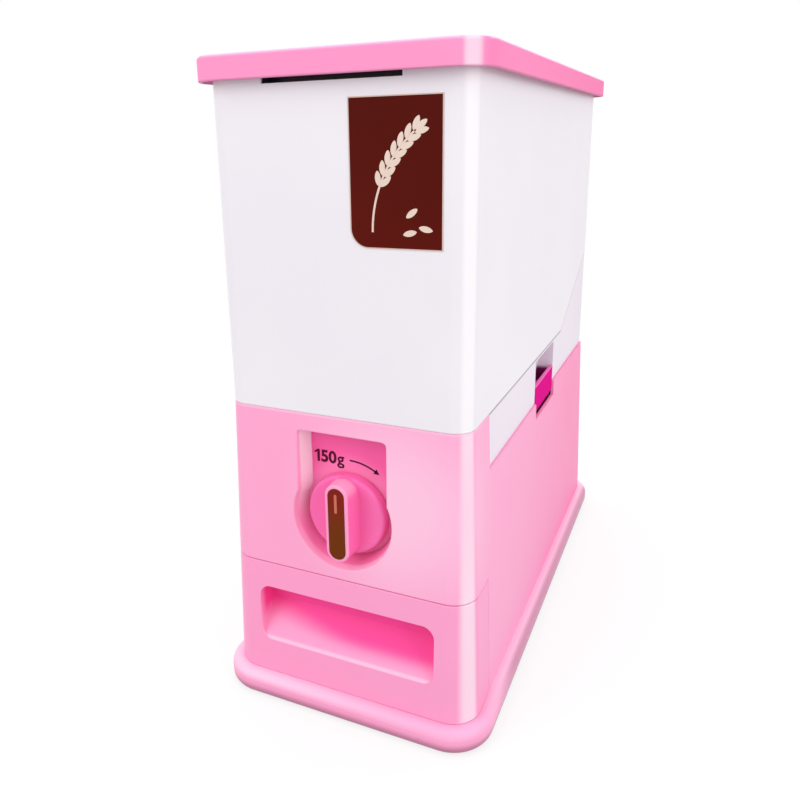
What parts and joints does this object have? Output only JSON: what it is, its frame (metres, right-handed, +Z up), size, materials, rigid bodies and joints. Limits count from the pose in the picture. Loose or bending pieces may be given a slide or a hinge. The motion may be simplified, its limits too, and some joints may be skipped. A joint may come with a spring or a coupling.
{
  "type": "rice storage container",
  "caption": "Tall rice dispenser with a hinged lid, white hopper and pink body; a dial turns a metering drum that drops rice into a pull-out drawer.",
  "frame": {"origin": "middle of the base plate's flat underside, at floor level", "axes": "+X to the right of a person facing the dial, +Y to the back, +Z up"},
  "size_m": [0.212, 0.4493, 0.4615],
  "materials": {
    "pink_shell": "glossy moulded",
    "lid_pink": "glossy moulded",
    "white_shell": "glossy moulded",
    "knob_pink": "glossy moulded",
    "insert_brown": "satin moulded",
    "dial_plate": "satin moulded",
    "latch_magenta": "glossy moulded",
    "label": "printed film",
    "inner_plastic": "fine moulded",
    "bush": "acetal",
    "tray": "fine moulded",
    "seal": "soft",
    "steel": "zinc plated"
  },
  "bodies": {
    "housing": {"base_plate": "pink_shell", "lower_body": "pink_shell", "hopper": "white_shell", "support_frame": "white_shell", "left_hinge_bracket": "white_shell", "right_hinge_bracket": "white_shell", "dial_plate": "dial_plate", "front_label": "label", "drum_housing": "inner_plastic", "housing_cover": "inner_plastic", "left_rail": "inner_plastic", "right_rail": "inner_plastic", "dial_bush": "bush", "front_bush": "bush", "rear_bush": "bush", "throat_gasket": "seal", "wiper_strip": "seal", "base_screws": "steel", "frame_screws": "steel", "housing_screws": "steel", "cover_screws": "steel", "hinge_pins": "steel", "left_latch_pin": "steel", "right_latch_pin": "steel"},
    "dial": {"knob": "knob_pink", "knob_insert": "insert_brown", "knob_screw": "steel", "shaft": "steel", "metering_drum": "inner_plastic", "drum_pin": "steel", "retaining_clip": "steel"},
    "drawer": {"drawer_front": "pink_shell", "drawer_tray": "tray", "drawer_screws": "steel"},
    "lid": {"lid": "lid_pink", "lid_seal": "seal"},
    "left_latch": {"left_latch": "latch_magenta"},
    "right_latch": {"right_latch": "latch_magenta"}
  },
  "joints": [
    {"name": "lid_hinge", "type": "hinge", "parent": "housing", "child": "lid", "pos_m": [0, 0.2213, 0.449], "axis": [-1, 0, 0], "range_deg": [0, 105]},
    {"name": "dial_turn", "type": "hinge", "parent": "housing", "child": "dial", "pos_m": [0, 0, 0.157], "axis": [0, 1, 0], "continuous": true},
    {"name": "drawer_slide", "type": "slide", "parent": "housing", "child": "drawer", "axis": [0, -1, 0], "range_m": [0, 0.19]},
    {"name": "left_latch_turn", "type": "hinge", "parent": "housing", "child": "left_latch", "pos_m": [-0.0835, 0.012, 0.1845], "axis": [0, -1, 0], "range_deg": [0, 20], "stiffness_Nm_per_rad": 0.15, "springref_deg": -20.05},
    {"name": "right_latch_turn", "type": "hinge", "parent": "housing", "child": "right_latch", "pos_m": [0.0835, 0.012, 0.1845], "axis": [0, 1, 0], "range_deg": [0, 20], "stiffness_Nm_per_rad": 0.15, "springref_deg": -20.05}
  ]
}
